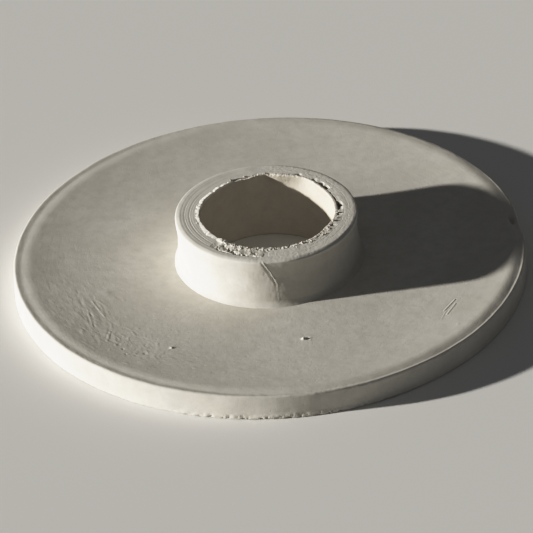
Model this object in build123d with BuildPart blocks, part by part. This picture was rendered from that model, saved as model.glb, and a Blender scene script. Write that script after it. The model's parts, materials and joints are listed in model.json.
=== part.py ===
from build123d import *
import os

# An undrilled round flange plate with a short hollow collar, in chalky unglazed ceramic.
# The collar is wound: three plies round a thin skin that lines the bore from end to end.
#
# Millimetres. Z = 0 is the plate's underside and +Z is the axis of the bore. -Y is the front,
# where the outer ply's two ends meet.

# ---- plate ----
plate_r = 100.0             # at the underside, where the plate is widest
plate_draft = 0.9           # how much smaller the radius is at the top edge
plate_thickness = 9.6       # up to the flat part of the top face
plate_foot_round = 0.6      # round on the lower edge

lip_width = 1.0             # raised lip round the top edge
lip_height = 0.45           # its crest above the flat face
lip_slope = 0.4             # how far its inner side leans in towards the dip
dip_width = 4.6             # annular dip just inside the lip
dip_depth = 0.55            # its lowest ring below the flat face

seat_depth = 1.0            # shallow recess that centres the collar and its bead on the bore

# ---- collar ----
bore_r = 26.6
liner_wall = 0.9
inner_ply_wall = 2.4
middle_ply_wall = 1.9
outer_ply_wall = 3.2
collar_rise = 18.4          # rim above the plate's flat face
liner_proud = 0.6           # the liner's edge above the rim

ply_ease = 0.25             # small chamfers that leave a groove between plies on the rim
rim_round = 0.9             # round on the rim's outer edge

# ---- scarf seam, where the outer ply's ends meet ----
seam_width = 0.8
seam_foot_x = 2.6           # the seam's lower run stands upright, to the right of the front
seam_head_x = -2.8          # and its upper run leans over to the left
seam_knee_rise = 7.6        # height of the bend above the plate's flat face

# ---- filling in the rim, left of the seam ----
patch_start = 4.0           # degrees round from the front towards -X
patch_end = 38.0
patch_depth = 1.2

# ---- bead in the corner between collar and plate ----
bead_width = 1.4
bead_height = 2.4           # above the plate's flat face
bead_edge = 0.25            # the bead's thickness where it runs out on each face
bead_hollow = 0.3           # how far out the middle of its hollow face lies, as a share of its size
bead_key = 0.6              # depth of the step round the collar's foot that the bead grips

# ---- fits: the pieces are bonded, so each one starts at its neighbour's own radius ----
bond_gap = 0.0              # radial gap between one bonded piece and the next

inner_ply_bore_r = bore_r + liner_wall + bond_gap
middle_ply_bore_r = inner_ply_bore_r + inner_ply_wall + bond_gap
outer_ply_bore_r = middle_ply_bore_r + middle_ply_wall + bond_gap
collar_r = outer_ply_bore_r + outer_ply_wall
collar_foot_r = collar_r - bead_key
seat_r = collar_r + bead_width + bond_gap
plate_hole_r = inner_ply_bore_r

seat_z = plate_thickness - seat_depth
rim_z = plate_thickness + collar_rise
bead_z = plate_thickness + bead_height
plate_top_r = plate_r - plate_draft
lip_z = plate_thickness + lip_height
dip_z = plate_thickness - dip_depth
lip_root_r = plate_top_r - lip_width - lip_slope
dip_start_r = lip_root_r - dip_width
front_angle = -90           # direction of -Y, in degrees round from +X
reach = 2 * collar_r        # takes a cutter from the axis well past the collar's outside

os.makedirs("parts", exist_ok=True)


def tube(outer_r, inner_r, low_z, high_z):
    # Plain tube on the bore's axis.
    with BuildPart() as blank:
        with BuildSketch(Plane.XY.offset(low_z)):
            Circle(outer_r)
            Circle(inner_r, mode=Mode.SUBTRACT)
        extrude(amount=high_z - low_z)
    return blank.part


# ---- plate ----
with BuildPart() as plate:
    with BuildSketch(Plane.XZ):
        with BuildLine():
            Line((plate_hole_r, seat_z), (plate_hole_r, 0))
            Line((plate_hole_r, 0), (plate_r - plate_foot_round, 0))
            foot = TangentArc(
                (plate_r - plate_foot_round, 0), (plate_r, plate_foot_round), tangent=(1, 0)
            )
            side = Line(foot @ 1, (plate_top_r, lip_z - lip_width / 2))
            crest = ThreePointArc(
                side @ 1,
                (plate_top_r - lip_width / 2, lip_z),
                (plate_top_r - lip_width, lip_z - lip_width / 2),
            )
            Line(crest @ 1, (lip_root_r, dip_z))
            TangentArc((dip_start_r, plate_thickness), (lip_root_r, dip_z), tangent=(1, 0))
            Line((dip_start_r, plate_thickness), (seat_r, plate_thickness))
            Line((seat_r, plate_thickness), (seat_r, seat_z))
            Line((seat_r, seat_z), (plate_hole_r, seat_z))
        make_face()
    revolve(axis=Axis.Z)
plate.part.label = "plate"
export_step(plate.part, "parts/plate.step")

# ---- liner, a thin sleeve through the plate and the whole collar ----
with BuildPart() as bore_liner:
    add(tube(bore_r + liner_wall, bore_r, 0, rim_z + liner_proud))
bore_liner.part.label = "bore_liner"
export_step(bore_liner.part, "parts/bore_liner.step")

# ---- recess for the rim's filling, across the inner and middle plies ----
with BuildPart() as patch_recess:
    with BuildSketch(Plane.XY.offset(rim_z - patch_depth)):
        Circle(outer_ply_bore_r)
        Circle(inner_ply_bore_r, mode=Mode.SUBTRACT)
        with BuildLine():
            near = PolarLine((0, 0), reach, front_angle - patch_start)
            far = PolarLine((0, 0), reach, front_angle - patch_end)
            Line(near @ 1, far @ 1)
        make_face(mode=Mode.INTERSECT)
    extrude(amount=patch_depth)

with BuildPart() as rim_patch:
    add(patch_recess.part)
    chamfer(rim_patch.faces().sort_by(Axis.Z)[-1].edges(), ply_ease)
rim_patch.part.label = "rim_patch"
export_step(rim_patch.part, "parts/rim_patch.step")

# ---- inner and middle plies ----
with BuildPart() as inner_ply:
    add(tube(inner_ply_bore_r + inner_ply_wall, inner_ply_bore_r, seat_z, rim_z))
    chamfer(inner_ply.faces().sort_by(Axis.Z)[-1].edges(), ply_ease)
    add(patch_recess.part, mode=Mode.SUBTRACT)
inner_ply.part.label = "inner_ply"
export_step(inner_ply.part, "parts/inner_ply.step")

with BuildPart() as middle_ply:
    add(tube(middle_ply_bore_r + middle_ply_wall, middle_ply_bore_r, seat_z, rim_z))
    chamfer(middle_ply.faces().sort_by(Axis.Z)[-1].edges(), ply_ease)
    add(patch_recess.part, mode=Mode.SUBTRACT)
middle_ply.part.label = "middle_ply"
export_step(middle_ply.part, "parts/middle_ply.step")

# ---- outer ply, an open ring whose gap is the scarf seam ----
with BuildPart() as outer_wrap:
    add(tube(collar_r, outer_ply_bore_r, seat_z, rim_z))
    rim_edges = outer_wrap.faces().sort_by(Axis.Z)[-1].edges().sort_by(SortBy.LENGTH)
    chamfer(rim_edges[0], ply_ease)
    fillet(rim_edges[-1], rim_round)
    add(tube(reach, collar_foot_r, seat_z, bead_z), mode=Mode.SUBTRACT)

half_seam = seam_width / 2
knee_z = plate_thickness + seam_knee_rise
with BuildPart() as seam_slot:
    with BuildSketch(Plane.XZ):
        Polygon(
            (seam_foot_x - half_seam, seat_z),
            (seam_foot_x + half_seam, seat_z),
            (seam_foot_x + half_seam, knee_z),
            (seam_head_x + half_seam, rim_z),
            (seam_head_x - half_seam, rim_z),
            (seam_foot_x - half_seam, knee_z),
            align=None,
        )
    extrude(amount=reach)

with BuildPart() as outer_ply:
    add(outer_wrap.part)
    add(seam_slot.part, mode=Mode.SUBTRACT)
outer_ply.part.label = "outer_ply"
export_step(outer_ply.part, "parts/outer_ply.step")

with BuildPart() as seam_filler:
    add(outer_wrap.part)
    add(seam_slot.part, mode=Mode.INTERSECT)
seam_filler.part.label = "seam_filler"
export_step(seam_filler.part, "parts/seam_filler.step")

# ---- bead, hollow-faced, in the corner at the collar's foot ----
toe = (collar_r + bead_width, plate_thickness + bead_edge)
head = (collar_r + bead_edge, bead_z)
hollow = (
    collar_r + bead_edge + bead_hollow * (bead_width - bead_edge),
    plate_thickness + bead_edge + bead_hollow * (bead_height - bead_edge),
)
with BuildPart() as foot_bead:
    with BuildSketch(Plane.XZ):
        with BuildLine():
            Line((collar_foot_r, seat_z), (collar_r + bead_width, seat_z))
            Line((collar_r + bead_width, seat_z), toe)
            ThreePointArc(toe, hollow, head)
            Line(head, (collar_foot_r, bead_z))
            Line((collar_foot_r, bead_z), (collar_foot_r, seat_z))
        make_face()
    revolve(axis=Axis.Z)
foot_bead.part.label = "foot_bead"
export_step(foot_bead.part, "parts/foot_bead.step")
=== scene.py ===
import json
import math
import random

import bmesh
import bpy
import numpy as np
from mathutils import Matrix, Vector, noise


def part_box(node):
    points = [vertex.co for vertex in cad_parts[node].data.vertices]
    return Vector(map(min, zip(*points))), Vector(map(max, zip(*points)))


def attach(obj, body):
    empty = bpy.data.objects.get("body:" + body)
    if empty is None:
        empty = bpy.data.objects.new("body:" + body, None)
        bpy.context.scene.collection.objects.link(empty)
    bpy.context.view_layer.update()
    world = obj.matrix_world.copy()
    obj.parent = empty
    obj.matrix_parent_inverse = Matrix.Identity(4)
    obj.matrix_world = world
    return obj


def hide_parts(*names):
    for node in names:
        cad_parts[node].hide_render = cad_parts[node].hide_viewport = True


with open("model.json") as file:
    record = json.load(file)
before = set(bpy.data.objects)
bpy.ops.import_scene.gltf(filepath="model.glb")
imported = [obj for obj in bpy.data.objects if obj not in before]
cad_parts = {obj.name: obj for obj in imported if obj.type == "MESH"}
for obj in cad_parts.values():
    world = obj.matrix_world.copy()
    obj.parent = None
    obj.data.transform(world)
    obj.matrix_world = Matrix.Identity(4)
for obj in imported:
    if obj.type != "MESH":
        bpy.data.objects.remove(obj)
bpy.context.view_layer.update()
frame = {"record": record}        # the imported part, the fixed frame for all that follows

mm = 0.001               # everything below is worked out in millimetres and made in metres


def sizeOf(node):
    low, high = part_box(node)
    return high.x / mm, low.z / mm, high.z / mm      # outer radius, foot and top


def mountOf(name):
    return next(m for m in frame["record"]["mounts"] if m["name"] == name)


# the part's own radii and heights, read from the frame
plateR, plateFoot, lipZ = sizeOf("plate")
linerR = sizeOf("bore_liner")[0]
innerR, seatZ, rimZ = sizeOf("inner_ply")
middleR = sizeOf("middle_ply")[0]
collarR = sizeOf("outer_ply")[0]
beadR = sizeOf("foot_bead")[0]
boreR = mountOf("bore")["dims"]["r_mm"]
flatZ = mountOf("top_face")["pos_m"][2] / mm
print("frame loaded: plate", round(plateR * 2, 1), "mm across, rim at", round(rimZ, 1), "mm")


# ---- small tools. Angles go round from the front (-Y) towards +X ----

def turned(degrees):
    return math.radians(degrees)


def apart(angle, degrees):
    # how far round, in degrees and signed, from a place on the ring
    return (np.degrees(angle) - degrees + 180.0) % 360.0 - 180.0


def ease(value, low, high):
    t = np.clip((value - low) / (high - low), 0.0, 1.0)
    return t * t * (3.0 - 2.0 * t)


def hump(value, width):
    return np.exp(-(value / width) ** 2)


def stretch(angle, start, end, soft):
    # 1 between two places on the ring, fading over soft degrees outside them
    middle, half = (start + end) / 2.0, (end - start) / 2.0
    return 1.0 - ease(np.abs(apart(angle, middle)), half, half + soft)


def grain(x, y, z, size, octaves=3, seed=0, gain=0.9):
    # fractal noise at one value per point, about -1 to 1
    shift = np.array([seed * 7.31 + 0.5, seed * 3.17 + 0.5, seed * 11.73 + 0.5])
    x, y, z = np.broadcast_arrays(x, y, z)
    spots = (np.stack([x, y, z], -1).reshape(-1, 3) / size + shift).tolist()
    return np.array([noise.fractal(p, gain, 2.0, octaves) for p in spots]).reshape(x.shape)


def crumbly(x, y, z, size, seed=0):
    # rounded lumps with sharp creases between them, 0 in a crease and about 1 on a lump
    shift = np.array([seed * 5.3 + 0.5, seed * 9.1 + 0.5, seed * 2.7 + 0.5])
    x, y, z = np.broadcast_arrays(x, y, z)
    spots = (np.stack([x, y, z], -1).reshape(-1, 3) / size + shift).tolist()
    return 1.0 - np.array([noise.noise(p, noise_basis="VORONOI_F1") for p in spots]).reshape(x.shape)


def crowd(low, high, count, spots, closed=False):
    # count values from low to high, closer together near each (place, width, gain)
    fine = np.linspace(low, high, 6001)
    thick = np.ones_like(fine)
    for place, width, gain in spots:
        gap = fine - place
        if closed:
            gap = (gap + 180.0) % 360.0 - 180.0
        thick += gain * np.exp(-(gap / width) ** 2)
    total = np.concatenate([[0.0], np.cumsum((thick[1:] + thick[:-1]) / 2.0)])
    return np.interp(np.linspace(0.0, total[-1], count, endpoint=not closed), total, fine)


def run(start, end, step):
    # points from start up to, not including, end
    count = max(1, round(math.dist(start, end) / step))
    return [tuple(np.array(start) + (np.array(end) - np.array(start)) * i / count) for i in range(count)]


def bend(centre, radius, fromDegrees, toDegrees, count):
    turns = np.radians(np.linspace(fromDegrees, toDegrees, count, endpoint=False))
    return [(centre[0] + radius * math.cos(t), centre[1] + radius * math.sin(t)) for t in turns]


def addMesh(name, points, faces):
    mesh = bpy.data.meshes.new(name)
    mesh.from_pydata((np.asarray(points) * mm).tolist(), [], faces)
    work = bmesh.new()
    work.from_mesh(mesh)
    bmesh.ops.recalc_face_normals(work, faces=work.faces)
    work.to_mesh(mesh)
    work.free()
    mesh.shade_smooth()
    piece = bpy.data.objects.new(name, mesh)
    bpy.context.scene.collection.objects.link(piece)
    return piece


def bits(x, y, size, seed=0):
    # broken fragments: each takes its own height and tilt, about -1 to 1
    x, y = np.broadcast_arrays(x, y)
    flatSpots = (x / size + seed * 3.7, y / size + seed * 1.9, 0 * x + seed * 0.61)
    spots = np.stack(flatSpots, -1).reshape(-1, 3)
    found = [noise.voronoi(p)[1][0] for p in spots.tolist()]
    middle = np.array([tuple(v) for v in found])
    own = np.modf(np.abs(np.sin(middle @ np.array([12.99, 78.23, 37.72])) * 4375.85))[0]
    turn = own * 39.0
    away = spots - middle
    tilt = away[:, 0] * np.cos(turn) + away[:, 1] * np.sin(turn)
    return (2.0 * own - 1.0 + 1.3 * tilt).reshape(x.shape)


def addRing(name, angles, section, shape, warp=None):
    # a closed section carried round the axis, each point then placed by shape(angle, r, z)
    r0 = np.array([p[0] for p in section])[None, :]
    z0 = np.array([p[1] for p in section])[None, :]
    angle = np.radians(angles)[:, None]
    r, z = shape(angle, r0, z0)
    r, z = np.broadcast_arrays(r, z)
    x, y = r * np.sin(angle), -r * np.cos(angle)
    if warp:
        x, y, z = warp(x, y, z)
    points = np.stack([x, y, z], -1)
    rings, around = points.shape[0], points.shape[1]
    i = np.arange(rings)[:, None]
    j = np.arange(around)[None, :]
    nextI, nextJ = (i + 1) % rings, (j + 1) % around
    corners = (i * around + j, nextI * around + j, nextI * around + nextJ, i * around + nextJ)
    return addMesh(name, points.reshape(-1, 3), np.stack(corners, -1).reshape(-1, 4).tolist())


def addSlab(name, top, under):
    # a closed slab between two grids of points with the same rows and columns
    rows, across = top.shape[0], top.shape[1]
    faces, off = [], rows * across
    for i in range(rows - 1):
        for j in range(across - 1):
            k = i * across + j
            faces.append((k, k + 1, k + across + 1, k + across))
            faces.append((off + k, off + k + across, off + k + across + 1, off + k + 1))
        for j in (0, across - 1):
            k = i * across + j
            faces.append((k, k + across, off + k + across, off + k))
    for i in (0, rows - 1):
        for j in range(across - 1):
            k = i * across + j
            faces.append((k, k + 1, off + k + 1, off + k))
    return addMesh(name, np.concatenate([top.reshape(-1, 3), under.reshape(-1, 3)]), faces)


def seat(piece, node, material):
    piece.data.materials.append(material)
    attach(piece, "root")
    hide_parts(node)
    print(piece.name, "made with", len(piece.data.polygons), "faces")
    return piece


# ---- materials: chalky unglazed ceramic, four finishes of one recipe ----

chalkLook = {
    "cloud": 0.020,      # metres across one soft patch of tone
    "blotch": 0.0045,
    "fleck": 0.0009,
    "tooth": 0.00035,    # the fine powdery tooth of the surface
    "paleTop": (0.88, 0.86, 0.805),         # pale colour for the top edge, above the darker wall
    "shadeStart": -0.004, "shadeFull": 0.022,      # metres towards +X: where the painted shade on the right side begins and is darkest
    "shadeMost": 0.30,
}


def chalk(
    name, pale, warm, dull, flecks=0.35, tooth=0.25, pores=0.3, rough=0.9, paleAbove=None, shadedBelow=None
):
    material = bpy.data.materials.new(name)
    material.use_nodes = True
    nodes, links = material.node_tree.nodes, material.node_tree.links
    shader = nodes["Principled BSDF"]
    where = nodes.new("ShaderNodeTexCoord")
    if paleAbove or shadedBelow:
        spot = nodes.new("ShaderNodeSeparateXYZ")
        links.new(where.outputs["Object"], spot.inputs["Vector"])

    def noiseAt(size, detail, roughness=0.55):
        texture = nodes.new("ShaderNodeTexNoise")
        texture.inputs["Scale"].default_value = 1.0 / size
        texture.inputs["Detail"].default_value = detail
        texture.inputs["Roughness"].default_value = roughness
        links.new(where.outputs["Object"], texture.inputs["Vector"])
        return texture

    def ramp(source, low, high, most=1.0):
        # black up to low, then up to the grey called most at high
        scale = nodes.new("ShaderNodeValToRGB")
        dark, light = scale.color_ramp.elements
        dark.position, dark.color = low, (0, 0, 0, 1)
        light.position, light.color = high, (most, most, most, 1)
        links.new(source, scale.inputs["Fac"])
        return scale.outputs["Color"]

    def remap(source, low, high, toLow=0.0, toHigh=1.0):
        scale = nodes.new("ShaderNodeMapRange")
        for key, value in (("From Min", low), ("From Max", high), ("To Min", toLow), ("To Max", toHigh)):
            scale.inputs[key].default_value = value
        links.new(source, scale.inputs["Value"])
        return scale.outputs["Result"]

    def blend(factor, first, second):
        mix = nodes.new("ShaderNodeMix")
        mix.data_type = "RGBA"
        for index, value in ((0, factor), (6, first), (7, second)):
            if isinstance(value, (int, float, tuple)):
                mix.inputs[index].default_value = value
            else:
                links.new(value, mix.inputs[index])
        return mix.outputs[2]

    cloud = noiseAt(chalkLook["cloud"], 4.0)
    blotch = noiseAt(chalkLook["blotch"], 5.0, 0.65)
    fleck = noiseAt(chalkLook["fleck"], 2.0, 0.5)
    fine = noiseAt(chalkLook["tooth"], 3.0, 0.6)

    # tone: warm and dull clouds, a blotchy middle scale, then sparse darker flecks
    tone = blend(ramp(cloud.outputs["Fac"], 0.38, 0.64), (*warm, 1), (*pale, 1))
    tone = blend(ramp(blotch.outputs["Fac"], 0.42, 0.72, 0.75), tone, (*dull, 1))
    dirt = (dull[0] * 0.62, dull[1] * 0.60, dull[2] * 0.56, 1)
    tone = blend(ramp(fleck.outputs["Fac"], 0.68, 0.80, flecks), tone, dirt)
    if paleAbove:
        # everything above this height, in metres, takes the pale colour; below it the darker base colours
        # stand
        paleTop = remap(spot.outputs["Z"], paleAbove, paleAbove + 0.0008)
        tone = blend(paleTop, tone, (*chalkLook["paleTop"], 1))
    if shadedBelow:
        # painted shade: the right side, away from the lamp, is darkened up to this height
        shadeAmount = nodes.new("ShaderNodeMath")
        shadeAmount.operation = "MULTIPLY"
        c = chalkLook
        across = remap(spot.outputs["X"], c["shadeStart"], c["shadeFull"], 0.0, c["shadeMost"])
        links.new(across, shadeAmount.inputs[0])
        links.new(remap(spot.outputs["Z"], shadedBelow, shadedBelow - 0.0012), shadeAmount.inputs[1])
        shadeColour = (dull[0] * 0.45, dull[1] * 0.44, dull[2] * 0.40, 1)
        tone = blend(shadeAmount.outputs["Value"], tone, shadeColour)
    links.new(tone, shader.inputs["Base Color"])

    # roughness: powdery, a little closer where hands have rubbed it
    polish = remap(blotch.outputs["Fac"], 0.3, 0.7, rough - 0.12, min(1.0, rough + 0.06))
    links.new(polish, shader.inputs["Roughness"])
    shader.inputs["Specular IOR Level"].default_value = 0.22

    # relief: tooth, then open pores
    lowBump = nodes.new("ShaderNodeBump")
    lowBump.inputs["Strength"].default_value = tooth
    lowBump.inputs["Distance"].default_value = 0.00012
    links.new(fine.outputs["Fac"], lowBump.inputs["Height"])
    pore = nodes.new("ShaderNodeTexVoronoi")
    pore.inputs["Scale"].default_value = 1.0 / (chalkLook["fleck"] * 1.6)
    links.new(where.outputs["Object"], pore.inputs["Vector"])
    highBump = nodes.new("ShaderNodeBump")
    highBump.inputs["Strength"].default_value = pores
    highBump.inputs["Distance"].default_value = 0.00015
    links.new(ramp(pore.outputs["Distance"], 0.02, 0.22), highBump.inputs["Height"])
    links.new(lowBump.outputs["Normal"], highBump.inputs["Normal"])
    links.new(highBump.outputs["Normal"], shader.inputs["Normal"])
    return material


plateChalk = chalk("plateChalk", (0.745, 0.724, 0.672), (0.685, 0.662, 0.605), (0.615, 0.597, 0.55))
# the plies carry painted shade on their right side, below the rim
plyChalk = chalk(
    "plyChalk", (0.805, 0.785, 0.735), (0.76, 0.735, 0.68), (0.69, 0.67, 0.615),
    flecks=0.3, tooth=0.25, pores=0.3, shadedBelow=(rimZ - 0.4) * mm,
)
# the liner's colours are darker and warmer than the plies': painted shade for the inside of the bore; its
# torn edge above the rim stays pale
linerChalk = chalk(
    "linerChalk", (0.76, 0.72, 0.645), (0.71, 0.66, 0.575), (0.66, 0.61, 0.53),
    flecks=0.3, tooth=0.35, pores=0.4, rough=0.92, paleAbove=(rimZ + 0.1) * mm,
)
fillerChalk = chalk(
    "fillerChalk", (0.83, 0.81, 0.75), (0.76, 0.73, 0.66), (0.64, 0.61, 0.55),
    flecks=0.6, tooth=0.45, pores=0.6, rough=0.94,
)
print("materials ready")


# ---- how the collar sits on the plate: it leans a little, and its bore is off centre ----

collarLook = {
    "rings": 900,
    "lean": (-0.012, -0.006),     # slope of the rim along x and y
    "boreHead": (0.05, 0.9),      # how far off centre the bore is at the rim
    "boreFoot": (0.0, 2.6),       # and at its foot
    "wallShift": (-0.45, 0.15),   # and how far the outer wall drifts by the time it reaches the rim
    "taller": 0.65,               # the rim is this much higher than drawn
    "wall": (0.45, -0.15, 0.85),  # how far the wall stands out at the rim, at its waist and at its foot
    "groove": 0.016,              # depth of the grooves between plies, on the left of the rim
    "recess": (-41.0, -5.0),      # where the filling lies, degrees round
    "wander": [                   # the bore's edge strays from a circle: degrees round, half width, out
        (148.0, 15.0, 1.5), (180.0, 7.0, 0.9), (-164.0, 5.0, -0.5), (-128.0, 16.0, -0.8), (60.0, 9.0, -0.7),
        (-88.0, 12.0, 0.3),
    ],
}


def settle(x, y, z):
    c = collarLook
    t = ease(z, seatZ, rimZ)
    reach = np.hypot(x, y)
    across = np.clip((reach - boreR) / (collarR - boreR), 0.0, 1.0)
    lean = c["lean"][0] * x + c["lean"][1] * y
    stray = sum(out * hump(apart(np.arctan2(x, -y), degrees), half) for degrees, half, out in c["wander"])
    stray = stray * (1.0 - ease(reach, boreR + 0.5, collarR - 1.0)) * ease(z, rimZ - 9.0, rimZ) / reach
    x, y = x * (1.0 + stray), y * (1.0 + stray)
    shiftX, shiftY = (
        (foot * (1.0 - t) + head * t) * (1.0 - across) + wall * across * t
        for foot, head, wall in zip(c["boreFoot"], c["boreHead"], c["wallShift"])
    )
    return x + shiftX, y + shiftY, z + t * (lean + c["taller"])


def settleHole(x, y, z):
    # the plate's own hole follows the bore
    inside = np.hypot(x, y) < collarR
    x1, y1, z1 = settle(x, y, z)
    return np.where(inside, x1, x), np.where(inside, y1, y), z


# ---- plate ----

plateLook = {
    "rings": 760,             # angular steps
    "topR": 99.75,            # radius at the top edge
    "dishZ": 8.7,             # the top face is a shallow dish: its level near the collar
    "dishStart": 56.0,        # radius where it begins to rise
    "dishRise": 0.00115,      # millimetres per square millimetre of radius beyond that
    "brow": (92.0, 93.2),     # radius where the dish begins to turn down inside the lip, left and elsewhere
    "dip": (96.0, 97.4),      # radius where it is steepest
    "dipSlope": (-0.060, -0.205),     # slope there, at the left and at the right
    "root": (96.3, 98.3),     # radius where the lip starts to rise
    "lipRise": (0.30, 0.06, -0.15),   # the lip's crest above where it is drawn: left, back and front, right
    "crown": 0.8,             # round on the lip's outer edge
    "footRound": 0.5,
    "wave": 0.05,             # slow rise and fall of the rubbed top face
    "ripple": 0.020,
    "grit": 0.022,
    "edgeWander": 0.18,       # how far the edge strays from a true circle
    "crumbs": [               # stuck-on crumbs: degrees round, radius, width, height
        (10.4, 60.7, 0.80, 0.80), (-32.9, 72.8, 0.70, 0.60), (50.8, 90.9, 0.5, 0.12),
        (5.5, 90.0, 0.5, 0.16), (-73.0, 67.0, 2.4, 0.13), (-13.7, 82.8, 0.5, 0.10), (-31.1, 81.7, 0.45, 0.10),
    ],
    "pits": [                 # small open pits: degrees round, radius, width, depth
        (-46.2, 82.6, 0.70, 0.10), (-43.8, 83.9, 0.55, 0.14), (-39.0, 84.6, 0.60, 0.08),
        (-37.6, 81.5, 0.70, 0.12), (-49.8, 83.4, 0.55, 0.08), (-52.6, 80.0, 0.50, 0.07),
        (-8.9, 70.6, 0.45, 0.12), (-58.4, 86.0, 0.5, 0.14), (-41.6, 86.0, 0.4, 0.16),
        (12.1, 60.9, 0.7, 0.25),
    ],
    "scores": [               # fine raised strokes: from, to (degrees, radius), width, height
        ((54.4, 80.6), (60.6, 80.4), 0.26, 0.13), ((53.2, 83.0), (58.8, 82.0), 0.26, 0.11),
        ((50.5, 83.2), (55.0, 81.2), 0.22, 0.05), ((-49.6, 84.0), (-52.8, 79.0), 0.40, 0.09),
        ((-66.0, 78.0), (-58.0, 82.0), 0.30, 0.05), ((-70.0, 74.0), (-61.0, 74.5), 0.30, 0.05),
    ],
}


# short strokes left by fingers: thick in the rubbed patch at the left, faint over the front half
strokeLook = {"seed": 5, "patch": 110, "faint": 150, "height": (0.03, 0.065)}


def strokes():
    pick = random.Random(strokeLook["seed"])
    found = []
    for index in range(strokeLook["patch"] + strokeLook["faint"]):
        inPatch = index < strokeLook["patch"]
        degrees = pick.gauss(-52.0, 13.0) if inPatch else pick.uniform(-100.0, 70.0)
        radius = min(91.0, pick.gauss(79.0, 7.0) if inPatch else pick.uniform(45.0, 91.0))
        x, y = radius * math.sin(turned(degrees)), -radius * math.cos(turned(degrees))
        heading = turned(pick.gauss(108.0, 24.0) if inPatch else pick.gauss(170.0, 40.0))
        reach = pick.uniform(0.6, 3.2) if inPatch else pick.uniform(0.2, 2.2)
        height = pick.uniform(*strokeLook["height"]) * (1.0 if inPatch else 0.95)
        height = height * pick.choice((1.0, 1.0, -0.8))      # some are scratched in instead
        width = pick.uniform(0.22, 0.42)
        found.append((x, y, math.cos(heading) * reach, math.sin(heading) * reach, width, height))
    return found


def dishTop(r, angle):
    # level of the top face: a shallow dish, then down to the dip and up to the lip's crest
    p = plateLook
    deep = stretch(angle, 12.0, 88.0, 60.0)
    left = stretch(angle, -140.0, -30.0, 40.0)
    brow, dip, root = (p[k][1] + (p[k][0] - p[k][1]) * left for k in ("brow", "dip", "root"))
    dish = p["dishZ"] + p["dishRise"] * np.maximum(0.0, r - p["dishStart"]) ** 2
    browZ = p["dishZ"] + p["dishRise"] * (brow - p["dishStart"]) ** 2
    slopeIn = 2.0 * p["dishRise"] * (brow - p["dishStart"])
    slopeOut = p["dipSlope"][0] + (p["dipSlope"][1] - p["dipSlope"][0]) * deep
    span = dip - brow
    t = np.clip((r - brow) / span, 0.0, 1.0)
    sweep = browZ + slopeIn * span * t + (slopeOut - slopeIn) * span * (t ** 3 - t ** 4 / 2.0)
    sweep = sweep + slopeOut * np.maximum(0.0, r - dip)
    leftRise, midRise, rightRise = p["lipRise"]
    crest = lipZ + midRise + (leftRise - midRise) * left + (rightRise - midRise) * deep
    up = ease(r, root, p["topR"] - 0.85)
    return np.where(r < brow, dish, sweep + (crest - sweep) * up)


def plateSection():
    # the top face is drawn level here, and plateShape lays it on the dish
    p = plateLook
    crown = p["crown"]
    section = run((linerR, plateFoot), (plateR - p["footRound"], plateFoot), 4.0)
    section += bend((plateR - p["footRound"], plateFoot + p["footRound"]), p["footRound"], -90, 0, 4)
    section += run((plateR, plateFoot + p["footRound"]), (p["topR"], lipZ - crown), 0.45)
    section += bend((p["topR"] - crown, lipZ - crown), crown, 0, 90, 7)
    section += run((p["topR"] - crown, lipZ), (92.0, lipZ), 0.28)
    nearMarks = [(80.0, 9.0, 1.4), (60.6, 1.2, 2.5), (72.8, 1.2, 1.5), (90.9, 1.0, 1.0), (37.0, 1.5, 1.0)]
    section += [(r, lipZ) for r in crowd(beadR - 0.4, 92.0, 150, nearMarks)[::-1]]
    section += run((beadR - 0.5, seatZ - 1.0), (linerR, seatZ - 1.0), 4.0)
    section += run((linerR, seatZ - 1.0), (linerR, plateFoot), 3.0)
    return section


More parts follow.
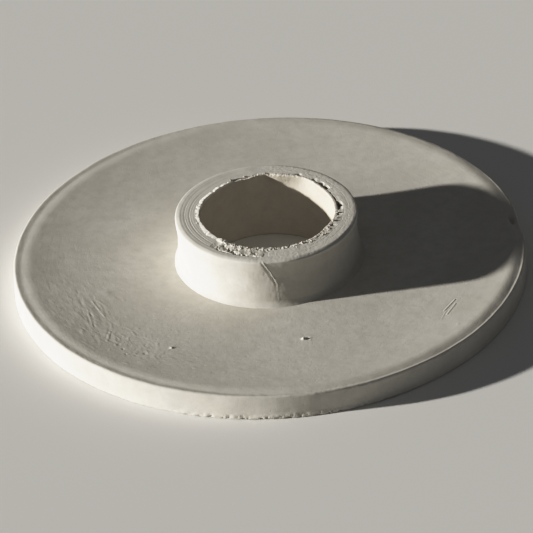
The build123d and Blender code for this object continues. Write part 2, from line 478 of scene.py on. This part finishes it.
def plateShape(angle, r0, z0):
    p = plateLook
    x, y = r0 * np.sin(angle), -r0 * np.cos(angle)
    onTop = (z0 > lipZ - p["crown"] - 0.01) * (r0 > beadR - 0.45) * (r0 < p["topR"] - 0.01)
    onSide = (r0 > plateR - 2.6) * ease(z0, 0.05, 0.8)
    r, z = r0 + 0 * angle, z0 + 0 * angle
    z = z + onTop * (dishTop(r0, angle) - lipZ)

    # the rubbed top face, with the smear of fingers and cloth over it
    out = ease(r0, beadR - 0.4, beadR + 9.0)
    z = z + onTop * out * 0.010 * grain(x * 0.35, y, 0.0, 1.6, 3, 18)
    slow = p["wave"] * grain(x, y, 0.0, 34.0, 2, 1)
    z = z + onTop * out * (slow + p["ripple"] * grain(x, y, 0.0, 6.5, 3, 2))
    around = grain(r0 * 1.6, angle * 9.0, 0.0, 1.0, 3, 3)
    z = z + onTop * 0.008 * around * ease(r0, 50.0, 80.0)
    gritty = 0.35 + 0.65 * stretch(angle, -75.0, 30.0, 30.0)
    z = z + onTop * out * gritty * p["grit"] * grain(x, y, 0.0, 1.1, 3, 14)

    for degrees, radius, width, height in p["crumbs"]:
        cx, cy = radius * math.sin(turned(degrees)), -radius * math.cos(turned(degrees))
        lump = hump(np.hypot(x - cx, y - cy), width * 0.75)
        z = z + onTop * height * lump * (1.0 + 0.5 * grain(x, y, 0.0, 0.7, 2, 15) * lump)
    for degrees, radius, width, depth in p["pits"]:
        cx, cy = radius * math.sin(turned(degrees)), -radius * math.cos(turned(degrees))
        away = np.hypot(x - cx, (y - cy) * 0.75)
        z = z - onTop * depth * (hump(away, width * 0.8) - 0.2 * hump(away - width * 1.5, width * 0.5))
    for (a0, r1), (a1, r2), width, height in p["scores"]:
        start = np.array([r1 * math.sin(turned(a0)), -r1 * math.cos(turned(a0))])
        along = np.array([r2 * math.sin(turned(a1)), -r2 * math.cos(turned(a1))]) - start
        t = np.clip(((x - start[0]) * along[0] + (y - start[1]) * along[1]) / (along @ along), 0, 1)
        away = np.hypot(x - start[0] - t * along[0], y - start[1] - t * along[1])
        z = z + onTop * height * (hump(away, width) - 0.35 * hump(away - width * 2.2, width))

    for fromX, fromY, alongX, alongY, width, height in strokes():
        t = np.clip(((x - fromX) * alongX + (y - fromY) * alongY) / (alongX ** 2 + alongY ** 2), 0, 1)
        away = np.hypot(x - fromX - t * alongX, y - fromY - t * alongY)
        z = z + onTop * height * hump(away, width)

    # finger-rubbed patch at the left, fine streaks that run front to back
    patch = hump(np.hypot((x + 69.0) / 10.0, (y + 38.0) / 20.0), 1.0)
    streaks = grain(x + 0.25 * y, (y - 0.25 * x) * 0.22, 0.0, 1.3, 3, 4)
    z = z + onTop * patch * (0.07 * streaks + 0.02 * grain(x, y, 0.0, 2.5, 2, 5))
    spoil = hump(np.hypot((x + 45.0) / 20.0, (y + 62.0) / 9.0), 1.0)
    z = z + onTop * spoil * 0.035 * grain(x, y, 0.0, 1.5, 3, 16)

    # the lip rises and falls a little and is worn in places
    nearLip = ease(r0, plateR - 3.0, plateR - 1.6) * onTop
    z = z + nearLip * (0.05 * grain(x, y, 0.0, 18.0, 2, 6) + 0.05 * grain(x, y, 0.0, 1.9, 3, 7))
    edge = ease(r0, plateR - 8.0, plateR - 2.0)
    r = r + edge * p["edgeWander"] * grain(x, y, 0.0, 45.0, 2, 8)

    # side: wiped round by hand, so its marks run along it
    slide = grain(np.sin(angle) * 14.0, -np.cos(angle) * 14.0, z0, 1.6, 3, 9)
    r = r + onSide * (0.04 * slide + 0.08 * grain(x, y, z0, 9.0, 2, 10) + 0.02 * grain(x, y, z0, 1.0, 3, 17))

    # nick in the lip at the right
    nick = hump(apart(angle, 98.7), 1.7) * hump(r0 - 97.4, 0.85) * onTop
    z = z - 2.6 * nick
    # the edge is flattened a little there
    flat = 0.50 * hump(apart(angle, 98.0), 11.0) + 0.80 * hump(apart(angle, 97.0), 5.0)
    r = r - flat * ease(r0, plateR - 14.0, plateR - 3.0)

    # the lower edge is a feathered burr, rough all round and worst at the front
    low = (1.0 - ease(z0, 0.5, 2.2)) * (r0 > plateR - 1.6)
    worn = 0.12 + 0.88 * stretch(angle, -17.0, 22.0, 10.0)
    lumps = ease(crumbly(x, y, z0 * 1.6, 1.25, 11), 0.50, 0.95)
    r = r + low * worn * (0.62 * lumps - 0.22)
    z = z + low * worn * 0.25 * (1.0 - lumps) * (z0 < 0.3)

    # underside: coarse, as it came off the bench
    under = (z0 < 0.01) * (r0 < plateR - 0.3) * (r0 > linerR + 0.1)
    z = z + under * (0.10 + 0.09 * grain(x, y, 0.0, 7.0, 3, 12))
    return r, z


# more rings where the small marks lie
marked = [
    (-45.0, 9.0, 1.5), (10.5, 1.6, 2.2), (-32.7, 1.6, 1.8), (57.0, 5.0, 2.4), (0.0, 16.0, 0.7),
    (97.5, 3.0, 1.0),
]
plateAngles = crowd(-180.0, 180.0, plateLook["rings"], marked, closed=True)
plateDisc = addRing("plateDisc", plateAngles, plateSection(), plateShape, settleHole)
seat(plateDisc, "plate", plateChalk)


# ---- collar: what all its pieces share ----

collarAngles = np.linspace(-180.0, 180.0, collarLook["rings"], endpoint=False)
hiddenZ = seatZ - 1.0             # the collar's pieces go down to here, inside the plate's recess


def leftSide(angle):
    # 1 where the rim shows clean rings, 0 where it is granular
    return stretch(angle, -165.0, -50.0, 30.0)


def rimTop(angle, r0, z0, seed):
    # height of a ply's top face: rings on the left, granular on the right
    x, y = r0 * np.sin(angle), -r0 * np.cos(angle)
    top = ease(z0, rimZ - 0.7, rimZ - 0.25)
    rings = 0.012 * np.sin(r0 * 6.4 + 0.8 * grain(x, y, 0.0, 14.0, 2, 34))
    granular = 0.034 * grain(x, y, 0.0, 1.1, 3, seed + 1) + 0.014 * bits(x, y, 0.8, seed + 2)
    left = leftSide(angle)
    return top * (left * rings + (1.0 - 0.8 * left) * granular + 0.07 * grain(x, y, 0.0, 9.0, 2, 33))


def fillingHollow(angle, r0, z0):
    # how far a ply's top is cut down where the crumbly filling lies
    start, end = collarLook["recess"]
    return stretch(angle, start, end, 5.0) * ease(z0, rimZ - 1.8, rimZ - 0.2) * ease(r0, linerR - 1, linerR)


def wallOut(z0):
    # the wall draws in below the rim and spreads again at its foot
    head, waist, foot = collarLook["wall"]
    down = (rimZ - z0) / (rimZ - plateLook["dishZ"])
    return head + (waist - head) * ease(down, 0.02, 0.40) + (foot - waist) * ease(down, 0.42, 1.02)


def wallSkin(angle, r0, z0):
    # the wiped and slightly uneven surface of the wall, shared by the bead at its foot
    x, y = collarR * np.sin(angle), -collarR * np.cos(angle)
    wiped = grain(np.sin(angle) * 9.0, -np.cos(angle) * 9.0, z0, 1.4, 3, 21)
    return 0.045 * wiped + 0.14 * grain(x, y, z0, 11.0, 2, 22) + 0.02 * grain(x, y, z0, 1.2, 3, 23)


# ---- outer ply ----

outerLook = {
    "rimRound": (1.15, 0.95),     # the round on the rim, across and down
    "rimTurn": 52.0,              # degrees that the round turns through
    "step": 0.22,                 # how far the wall falls away on the right of the seam
}


def outerSection():
    (across, down), full = outerLook["rimRound"], turned(outerLook["rimTurn"])
    section = run((middleR, hiddenZ), (collarR - 0.6, hiddenZ), 1.7)
    section += run((collarR - 0.6, hiddenZ), (collarR - 0.6, flatZ), 1.2)
    section += run((collarR - 0.5, flatZ + 0.2), (collarR, flatZ + 0.7), 0.4)
    section += run((collarR, flatZ + 0.9), (collarR, rimZ - down), 0.36)
    for t in np.linspace(0.0, full, 8, endpoint=False):
        inward = (1.0 - math.cos(t)) / (1.0 - math.cos(full))
        section.append((collarR - across * inward, rimZ - down + down * math.sin(t) / math.sin(full)))
    section += run((collarR - across, rimZ), (middleR + 0.3, rimZ), 0.16)
    section += run((middleR + 0.3, rimZ), (middleR, rimZ - 0.02), 0.12)
    section += run((middleR, rimZ - 0.02), (middleR, hiddenZ), 3.0)
    return section


def seamAt(z0):
    # degrees round of the scarf seam at each height: a leaning run, a bend, an upright run
    heights = (plateLook["dishZ"], 13.0, 17.6, 18.6, 26.0, rimZ)
    return np.interp(z0, heights, (4.9, 4.3, 4.3, 3.7, -2.2, -4.0))


def outerShape(angle, r0, z0):
    x, y = r0 * np.sin(angle), -r0 * np.cos(angle)
    onWall = ease(r0, collarR - 1.6, collarR - 0.2)
    r = r0 + onWall * (wallOut(z0) + wallSkin(angle, r0, z0))
    # the lapping end stands a little proud on the left of the seam and falls away on its right
    side = apart(angle, 0.0) - seamAt(z0)
    high = 0.12 + 0.88 * ease(z0, flatZ + 6.0, rimZ - 7.0)
    r = r - onWall * outerLook["step"] * ease(side, -0.2, 0.7) * (1.0 - ease(side, 6.0, 18.0)) * high
    r = r - onWall * 0.16 * hump(side + 1.2, 0.8) * high
    # small bruises beside the seam
    for degrees, height, width, depth in ((-3.4, 22.4, 0.55, 0.08), (3.4, 24.6, 0.55, 0.09)):
        away = np.hypot(apart(angle, degrees) * turned(1) * collarR, z0 - height)
        r = r - onWall * depth * hump(away, width)
    z = z0 + rimTop(angle, r0, z0, 24)
    # the rim's round is much tighter at the back
    onRound = ease(z0, rimZ - outerLook["rimRound"][1], rimZ - 0.3) * ease(r0, collarR - 1.3, collarR - 1.0)
    z = z + onRound * 0.7 * (rimZ - z0) * stretch(angle, 85.0, 250.0, 25.0)
    # the rim's outer corner is rubbed unevenly
    corner = ease(r0, collarR - 1.4, collarR - 0.3) * ease(z0, rimZ - 1.0, rimZ - 0.1)
    z = z - corner * (0.04 + 0.05 * grain(x, y, 0.0, 3.5, 3, 28))
    groove = hump(r0 - middleR, 0.28) * ease(z0, rimZ - 0.6, rimZ - 0.2) * leftSide(angle)
    # a crack runs between this ply and the filling
    crack = hump(r0 - middleR, 0.35) * ease(z0, rimZ - 0.8, rimZ - 0.3) * stretch(angle, -36.0, -10.0, 4.0)
    return r, z - groove * collarLook["groove"] - 0.25 * crack


outerPly = addRing("outerPly", collarAngles, outerSection(), outerShape, settle)
seat(outerPly, "outer_ply", plyChalk)


# ---- middle and inner plies ----

def plySection(inR, outR, step):
    section = run((inR, hiddenZ), (outR, hiddenZ), 1.2)
    section += run((outR, hiddenZ), (outR, rimZ - 0.02), 3.5)
    section += run((outR, rimZ - 0.02), (outR - 0.3, rimZ), 0.12)
    section += run((outR - 0.3, rimZ), (inR + 0.3, rimZ), step)
    section += run((inR + 0.3, rimZ), (inR, rimZ - 0.02), 0.12)
    section += run((inR, rimZ - 0.02), (inR, rimZ - 5.0), 0.28)
    section += run((inR, rimZ - 5.0), (inR, hiddenZ), 3.0)
    return section


def middleShape(angle, r0, z0):
    z = z0 + rimTop(angle, r0, z0, 31) - 1.1 * fillingHollow(angle, r0, z0)
    near = hump(r0 - innerR, 0.26) + hump(r0 - middleR, 0.22)
    z = z - near * ease(z0, rimZ - 0.5, rimZ - 0.2) * leftSide(angle) * collarLook["groove"]
    return r0 + 0 * angle, z


middlePly = addRing("middlePly", collarAngles, plySection(innerR, middleR, 0.13), middleShape, settle)
seat(middlePly, "middle_ply", plyChalk)


# the skin has come away from the ply at the right and back, with open chips behind it:
# degrees round, half width, how far the ply's edge is bitten back, depth
chips = [
    (96.0, 4.4, 2.05, 4.2), (90.5, 2.0, 0.8, 2.6), (106.0, 4.0, 0.45, 2.2), (115.0, 4.0, 0.30, 1.8),
    (124.5, 2.6, 1.9, 3.4), (131.0, 3.0, 1.8, 3.6), (138.5, 2.0, 0.8, 2.4), (153.5, 1.8, 0.9, 2.0),
    (82.0, 1.4, 0.6, 2.4), (65.0, 1.5, 0.7, 2.4),
]


def chipped(angle, z0, full=True):
    bite = 0.0 * angle + 0.0 * z0
    for degrees, half, out, depth in chips:
        ragged = 1.0 + 0.22 * np.sin(degrees + angle * 75.0)
        down = 1.0 - ease(rimZ - z0, depth * 0.5, depth)
        bite = np.maximum(bite, out * ragged * hump(apart(angle, degrees), half) * (down if full else 1.0))
    return bite


def innerShape(angle, r0, z0):
    x, y = r0 * np.sin(angle), -r0 * np.cos(angle)
    nearSkin = 1.0 - ease(r0, linerR + 0.1, innerR + 0.1)
    r = r0 + nearSkin * chipped(angle, z0)
    z = z0 + rimTop(angle, r0, z0, 41) - 1.1 * fillingHollow(angle, r0, z0)
    groove = hump(r0 - innerR, 0.26) + 0.7 * hump(r0 - innerR + 1.0, 0.3)
    z = z - groove * ease(z0, rimZ - 0.5, rimZ - 0.2) * leftSide(angle) * collarLook["groove"]
    z = z - nearSkin * ease(z0, rimZ - 0.6, rimZ - 0.1) * 0.35 * np.minimum(chipped(angle, z0, False), 1.0)
    return r, z


innerPly = addRing("innerPly", collarAngles, plySection(linerR, innerR, 0.13), innerShape, settle)
seat(innerPly, "inner_ply", plyChalk)


# ---- liner, with its torn edge ----

linerLook = {
    "proud": 0.22,            # mean height of the torn edge above the rim
    "tear": 0.26,
    "pull": 0.06,             # how far the loose flap leans in over the bore
    "leanIn": 0.45,
    "tears": [                # higher and lower stretches: degrees round, half width, height
        (-157.0, 9.0, -0.60), (-41.0, 5.0, 0.50), (-73.0, 7.0, -0.10), (165.0, 7.0, 0.35),
        (177.0, 3.0, -0.45), (41.0, 6.0, 0.20), (50.0, 4.0, -0.20), (60.0, 3.0, 0.25),
        (-118.0, 8.0, 0.30), (144.0, 6.0, 0.15),
    ],
}


def linerSection():
    section = run((boreR, plateFoot), (linerR, plateFoot), 0.45)
    section += run((linerR, plateFoot), (linerR, rimZ - 5.0), 4.0)
    section += run((linerR, rimZ - 5.0), (linerR, rimZ), 0.3)
    section += bend((linerR - 0.3, rimZ), 0.3, 0, 90, 4)
    section += run((linerR - 0.3, rimZ + 0.3), (boreR + 0.3, rimZ + 0.3), 0.1)
    section += bend((boreR + 0.3, rimZ), 0.3, 90, 180, 4)
    section += run((boreR, rimZ), (boreR, rimZ - 6.0), 0.25)
    section += run((boreR, rimZ - 6.0), (boreR, plateFoot), 0.8)
    return section


def tornEdge(angle):
    # height of the torn edge above the rim, all round
    x, y = boreR * np.sin(angle), -boreR * np.cos(angle)
    k = linerLook
    edge = k["proud"] + k["tear"] * grain(x, y, 0.0, 2.8, 4, 51, 0.6) + 0.16 * grain(x, y, 5.0, 0.8, 2, 52)
    for degrees, half, height in k["tears"]:
        edge = edge + height * hump(apart(angle, degrees), half)
    edge = edge + 0.16 * stretch(angle, -150.0, -55.0, 20.0)
    # at the right it lies level with the ply behind it, and nearly so at the back
    edge = edge - edge * 0.92 * stretch(angle, 10.0, 150.0, 10.0)
    return edge - (edge - 0.05) * 0.55 * stretch(angle, 165.0, 200.0, 14.0)


def linerShape(angle, r0, z0):
    x, y = r0 * np.sin(angle), -r0 * np.cos(angle)
    upper = ease(z0, rimZ - 3.0, rimZ + 0.2)
    z = z0 + upper * (tornEdge(angle) - 0.3)
    crest = ease(z0, rimZ - 0.6, rimZ + 0.1)
    calm = 1.0 - 0.3 * stretch(angle, 0.0, 55.0, 8.0) - 0.75 * stretch(angle, 66.0, 200.0, 10.0)
    calm = calm - 0.35 * stretch(angle, -150.0, -60.0, 20.0)
    z = z + crest * calm * (0.14 * grain(x, y, 0.0, 0.6, 3, 53) + 0.14 * bits(x, y, 0.75, 54))
    # on the left its outer side is a slope that catches the light
    z = z - crest * 0.42 * ease(r0, boreR + 0.35, linerR) * stretch(angle, -165.0, -52.0, 12.0)
    loose = stretch(angle, 85.0, 150.0, 12.0) * ease(z0, rimZ - 5.0, rimZ)
    sway = grain(boreR * np.sin(angle), -boreR * np.cos(angle), 0.0, 6.0, 2, 55)
    r = r0 - loose * linerLook["pull"] * (0.8 + 0.5 * sway)
    inside = 1.0 - ease(r0, boreR + 0.1, boreR + 0.5)
    uneven = 0.10 * grain(x, y, z0, 7.0, 2, 56) + 0.04 * grain(x, y, z0, 1.3, 3, 57)
    r = r + inside * ease(z0, 0.5, 2.0) * uneven
    # the edge frays outwards over the rim as well as up
    clear = ease(chipped(angle, rimZ, False), 0.12, 0.4)
    spread = 0.30 + 0.25 * stretch(angle, -165.0, -52.0, 12.0)
    r = r + crest * ease(r0, boreR + 0.3, linerR) * spread * (1.0 - clear)
    # the top of the bore leans in a little
    r = r - linerLook["leanIn"] * ease(z0, rimZ - 4.0, rimZ) * (1.0 - ease(r0, boreR + 0.4, linerR))
    fray = stretch(angle, -45.0, 85.0, 10.0)
    r = r + crest * (0.14 + 0.08 * fray) * grain(x, y, 3.0, 0.9, 2, 58)
    r = r + crest * fray * 0.14 * bits(x, y, 1.1, 59) * ease(r0, boreR, linerR)
    return r, z


linerAngles = np.linspace(-180.0, 180.0, 980, endpoint=False)
boreLiner = addRing("boreLiner", linerAngles, linerSection(), linerShape, settle)
seat(boreLiner, "bore_liner", linerChalk)


# ---- bead in the corner at the collar's foot, wiped smooth into the wall and the plate ----

beadLook = {"spread": 1.15, "top": 2.9}


def beadSection():
    inner, foot, spread = collarR - 0.6, plateLook["dishZ"], beadLook["spread"]
    toe = collarR + spread
    section = run((inner, hiddenZ), (toe + 0.2, hiddenZ), 1.0)
    section += run((toe + 0.2, hiddenZ), (toe + 0.06, foot - 0.06), 0.5)
    top = foot + beadLook["top"]
    for t in np.linspace(0.0, 1.0, 16):
        outward = (spread + 0.1) * (1.0 - t) ** 2.3
        section.append((collarR - 0.05 + outward, foot - 0.05 + (top - foot) * t))
    section += run((inner + 0.1, top), (inner, hiddenZ), 1.2)
    return section


def beadShape(angle, r0, z0):
    shown = ease(r0, collarR - 0.3, collarR - 0.1) * (z0 > hiddenZ + 0.5)
    return r0 + shown * (wallOut(z0) + wallSkin(angle, r0, z0)), z0 + 0 * angle


footBead = addRing("footBead", collarAngles, beadSection(), beadShape, settle)
seat(footBead, "foot_bead", plyChalk)


# ---- filler in the scarf seam: a fine raised ridge up the front of the collar ----

seamLook = {"width": 0.22, "proud": 0.20, "rows": 190, "across": 11}


def seamRidge():
    s = seamLook
    heights = np.linspace(flatZ + 0.2, rimZ - 0.85, s["rows"])[:, None]
    offset = np.linspace(-1.0, 1.0, s["across"])[None, :]
    breadth = s["width"] * (1.0 + 0.3 * grain(0.0, 0.0, heights, 1.7, 2, 70))
    angle = np.radians(seamAt(heights) + offset * breadth / (turned(1) * collarR))
    angle = angle + grain(0.0, 0.0, heights, 2.2, 3, 71) * 0.16 / collarR
    fade = 0.08 + 0.92 * hump((heights - (rimZ - 6.5)) / 4.5, 1.0)
    crest = np.cos(offset * math.pi / 2) ** 1.2
    rough = 1.0 + 0.35 * grain(0.0, offset * 0.4, heights, 0.8, 3, 72)
    r = collarR + wallOut(heights) + wallSkin(angle, 0.0, heights) - 0.36
    r = r + (0.26 + s["proud"] * fade * rough) * crest
    z = heights + 0 * offset
    top = np.stack(settle(r * np.sin(angle), -r * np.cos(angle), z), -1)
    deep = 0 * r + collarR - 1.4
    under = np.stack(settle(deep * np.sin(angle), -deep * np.cos(angle), z), -1)
    return addSlab("seamFiller", top, under)


seamFiller = seamRidge()
seat(seamFiller, "seam_filler", fillerChalk)


# ---- crumbly filling in the rim ----

patchLook = {
    "rows": 300, "across": 66, "rise": 0.13,
    "pits": [             # dark holes between the lumps: degrees round, radius, width, depth
        (-38.0, 27.8, 0.55, 1.0), (-36.8, 28.9, 0.5, 1.0), (-33.6, 29.8, 0.5, 0.8), (-30.3, 30.2, 0.5, 0.9),
        (-26.8, 30.7, 0.65, 1.0), (-24.4, 31.3, 0.55, 0.9), (-17.4, 31.6, 0.6, 0.9), (-20.6, 31.5, 0.4, 0.6),
        (-25.0, 28.8, 0.45, 0.7), (-21.5, 27.6, 0.4, 0.6), (-14.6, 28.4, 0.45, 0.7), (-10.5, 30.2, 0.4, 0.6),
    ],
}


def rimFilling():
    start, end = collarLook["recess"]
    p = patchLook
    angle = np.radians(np.linspace(start - 5.5, end + 5.5, p["rows"]))[:, None]
    t = np.linspace(0.0, 1.0, p["across"])[None, :]
    x0, y0 = 29.5 * np.sin(angle), -29.5 * np.cos(angle)
    inEdge = linerR - 0.35 + 0.3 * grain(x0, y0, 0.0, 1.6, 3, 81)
    outEdge = middleR + 0.25 + 0.45 * grain(x0, y0, 4.0, 2.4, 3, 82)
    r = inEdge + (outEdge - inEdge) * t
    x, y = r * np.sin(angle), -r * np.cos(angle)
    rise = p["rise"] * bits(x, y, 2.8, 83) + 0.18 * grain(x, y, 0.0, 2.6, 2, 85)
    rise = rise + 0.035 * grain(x, y, 0.0, 0.8, 2, 84)
    rise = rise + 0.32 * (1.0 - ease(t, 0.0, 0.45)) - 0.06
    for degrees, radius, width, depth in p["pits"]:
        cx, cy = radius * math.sin(turned(degrees)), -radius * math.cos(turned(degrees))
        rise = rise - depth * hump(np.hypot(x - cx, y - cy), width * 0.8)
    ends = ease(np.degrees(angle), start - 4.5, start + 1.0)
    ends = ends * (1 - ease(np.degrees(angle), end - 6.0, end + 4.5))
    sides = ease(t, 0.0, 0.06) * (1.0 - ease(t, 0.92, 1.0))
    z = rimZ - 1.0 + sides * (0.90 + ends * (0.05 + rise))
    z = np.maximum(z, rimZ - 1.35)
    top = np.stack(settle(x, y, z), -1)
    under = np.stack(settle(x, y, 0 * r + rimZ - 1.6), -1)
    return addSlab("rimPatch", top, under)


rimPatch = rimFilling()
seat(rimPatch, "rim_patch", fillerChalk)


# ---- loose crumbs along the torn edge ----

crumbLook = {"count": 80, "seed": 12, "small": 0.14, "large": 0.40}


def edgeCrumbs():
    pick = random.Random(crumbLook["seed"])
    work = bmesh.new()
    for index in range(crumbLook["count"]):
        where = pick.random()
        if where < 0.50:
            degrees, r, lift = pick.uniform(-44.0, -3.0), boreR + 0.1 + abs(pick.gauss(0.0, 0.8)), 0.25
        elif where < 0.86:
            degrees, r, lift = pick.uniform(-3.0, 84.0), boreR + 0.4 + abs(pick.gauss(0.0, 0.7)), 0.20
        else:
            degrees, r, lift = pick.uniform(-170.0, -50.0), linerR + abs(pick.gauss(0.0, 0.3)), 0.15
        size = pick.uniform(crumbLook["small"], crumbLook["large"]) * pick.uniform(0.6, 1.2)
        angle = turned(degrees)
        lift = lift * max(0.0, 1.0 - max(0.0, r - linerR) / 1.2)
        spot = settle(np.array(r * math.sin(angle)), np.array(-r * math.cos(angle)), np.array(rimZ + lift))
        place = Matrix.Translation(Vector([float(v) for v in spot]))
        squash = Matrix.Diagonal((pick.uniform(0.7, 1.5), pick.uniform(0.7, 1.4), pick.uniform(0.5, 1.0), 1))
        spun = pick.uniform(0, math.tau)
        spin = Matrix.Rotation(spun, 4, Vector((pick.random(), pick.random(), 1.0)).normalized())
        made = bmesh.ops.create_icosphere(work, subdivisions=2, radius=size, matrix=place @ spin @ squash)
        centre = place.translation
        for v in made["verts"]:
            away = v.co - centre
            push = noise.noise(away * (1.4 / size) + Vector((index, 0, 0)))
            v.co = centre + away * (1.0 + 0.75 * push)
    mesh = bpy.data.meshes.new("edgeCrumbs")
    bmesh.ops.scale(work, vec=(mm, mm, mm), verts=work.verts)
    work.to_mesh(mesh)
    work.free()
    piece = bpy.data.objects.new("edgeCrumbs", mesh)
    bpy.context.scene.collection.objects.link(piece)
    return piece


crumbs = edgeCrumbs()
seat(crumbs, "rim_patch", fillerChalk)


# ---- floor, lights and camera ----

studio = {
    "floor": (0.93, 0.925, 0.91),
    "floorHalf": 20.0,       # metres from its middle to its edge
    "lampRound": 6.0,        # degrees, from the left towards the front
    "lampRise": 14.5,        # degrees above the floor
    "lampPower": 4.97,
    "lampSoft": 2.2,         # degrees across, which sets how soft the shadow's edge is
    "sky": 0.078,
    "film": [                # how bright each level of light comes out
        (0.04, 0.044), (0.08, 0.092), (0.133, 0.178), (0.2, 0.3), (0.343, 0.546), (0.43, 0.675),
        (0.647, 0.885), (0.813, 0.93),
    ],
}

half = studio["floorHalf"]
floorMesh = bpy.data.meshes.new("floor")
floorCorners = [(-half, -half, 0), (half, -half, 0), (half, half, 0), (-half, half, 0)]
floorMesh.from_pydata(floorCorners, [], [(0, 1, 2, 3)])
floor = bpy.data.objects.new("floor", floorMesh)
floor.location.z = -0.00005
bpy.context.scene.collection.objects.link(floor)
floorPaint = bpy.data.materials.new("floorPaint")
floorPaint.use_nodes = True
paint = floorPaint.node_tree.nodes["Principled BSDF"]
paint.inputs["Base Color"].default_value = (*studio["floor"], 1)
paint.inputs["Roughness"].default_value = 0.9
floorMesh.materials.append(floorPaint)

world = bpy.data.worlds.new("studio")
bpy.context.scene.world = world
world.use_nodes = True
world.node_tree.nodes["Background"].inputs["Color"].default_value = (0.97, 0.985, 1.0, 1)
world.node_tree.nodes["Background"].inputs["Strength"].default_value = studio["sky"]

lampTurn, lampTilt = turned(studio["lampRound"]), turned(studio["lampRise"])
level = math.cos(lampTilt)
towards = Vector((-math.cos(lampTurn) * level, -math.sin(lampTurn) * level, math.sin(lampTilt)))
keyData = bpy.data.lights.new("key", "SUN")      # even over the whole floor
keyData.angle = turned(studio["lampSoft"])
keyData.energy = studio["lampPower"]
keyData.color = (1.0, 0.965, 0.905)
key = bpy.data.objects.new("key", keyData)
key.location = towards
key.rotation_mode = "QUATERNION"
key.rotation_quaternion = towards.to_track_quat("Z", "Y")
bpy.context.scene.collection.objects.link(key)

view = {
    "elevation": 32.93,       # degrees above the horizon
    "distance": 2.947,        # metres from the middle of the plate's top edge
    "lens": 511.8,
    "pan": -0.03,
    "tilt": -0.10,
    "roll": 3.35,
}
rise = turned(view["elevation"])
back = Vector((0.0, -math.cos(rise), math.sin(rise)))
right = Vector((1.0, 0.0, 0.0))
up = right.cross(-back)
looking = Matrix((right, up, back)).transposed()
pan = Matrix.Rotation(turned(-view["pan"]), 3, "Y")
tilt = Matrix.Rotation(turned(view["tilt"]), 3, "X")
roll = Matrix.Rotation(turned(-view["roll"]), 3, "Z")
cameraData = bpy.data.cameras.new("camera")
cameraData.lens = view["lens"]
cameraData.sensor_width = 36.0
cameraData.clip_end = 50.0
camera = bpy.data.objects.new("camera", cameraData)
camera.matrix_world = Matrix.Translation(Vector((0, 0, lipZ * mm)) + back * view["distance"]) @ (
    looking @ pan @ tilt @ roll).to_4x4()
bpy.context.scene.collection.objects.link(camera)
bpy.context.scene.camera = camera

# film response: the brightest sides roll off instead of burning out
film = bpy.context.scene.view_settings
film.view_transform = "Standard"
film.use_curve_mapping = True
film.curve_mapping.white_level = (1.5, 1.5, 1.5)
response = film.curve_mapping.curves[3]
for light, shown in studio["film"]:
    response.points.new(light, shown)
response.points[-1].location = (1.0, 0.985)
film.curve_mapping.update()
print("studio ready")
